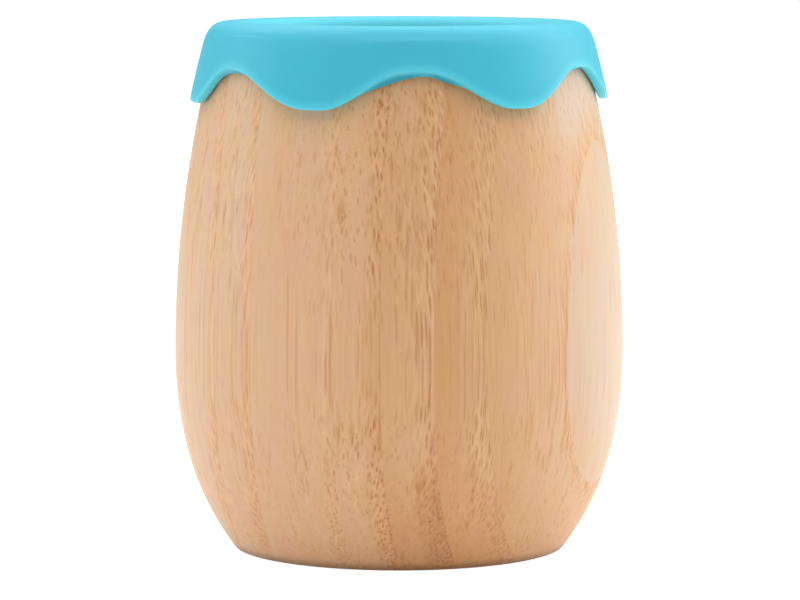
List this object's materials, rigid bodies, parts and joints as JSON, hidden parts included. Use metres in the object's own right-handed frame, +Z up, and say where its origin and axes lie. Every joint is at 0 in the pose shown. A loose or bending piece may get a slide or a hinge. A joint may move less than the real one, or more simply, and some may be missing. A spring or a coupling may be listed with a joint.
{
  "type": "bamboo cup",
  "caption": "Barrel-shaped child's cup turned from laminated bamboo strips, with a soft silicone drinking rim that hangs outside in a drip-edged skirt and pulls off for washing.",
  "frame": {"origin": "centre of the flat base, on the cup's turning axis", "axes": "+Z up along the turning axis, out of the mouth; -Y towards the pictured front; +X to the right as seen from the front"},
  "size_m": [0.07, 0.07, 0.082],
  "materials": {
    "bamboo": "bare laminated bamboo, turned and sanded, satin",
    "silicone": "moulded silicone, smooth matt"
  },
  "bodies": {
    "cup": {"board_01_strip_1": "bamboo", "board_01_strip_2": "bamboo", "board_01_strip_3": "bamboo", "board_02_strip_1": "bamboo", "board_02_strip_2": "bamboo", "board_02_strip_3": "bamboo", "board_03_strip_1": "bamboo", "board_03_strip_2": "bamboo", "board_03_strip_3": "bamboo", "board_03_strip_4": "bamboo", "board_04_strip_1": "bamboo", "board_04_strip_2": "bamboo", "board_04_strip_3": "bamboo", "board_04_strip_4": "bamboo", "board_05_strip_1": "bamboo", "board_05_strip_2": "bamboo", "board_05_strip_3": "bamboo", "board_05_strip_4": "bamboo", "board_06_strip_1": "bamboo", "board_06_strip_2": "bamboo", "board_06_strip_3": "bamboo", "board_06_strip_4": "bamboo", "board_07_strip_1": "bamboo", "board_07_strip_2": "bamboo", "board_07_strip_3": "bamboo", "board_07_strip_4": "bamboo", "board_08_strip_1": "bamboo", "board_08_strip_2": "bamboo", "board_08_strip_3": "bamboo", "board_09_strip_1": "bamboo", "board_09_strip_2": "bamboo", "board_09_strip_3": "bamboo", "board_09_strip_4": "bamboo", "board_10_strip_1": "bamboo", "board_10_strip_2": "bamboo"},
    "drinking_rim": {"silicone_drinking_rim": "silicone"}
  },
  "joints": [
    {"name": "rim_lift", "type": "slide", "parent": "cup", "child": "drinking_rim", "axis": [0, 0, 1], "range_m": [0, 0.025]}
  ]
}
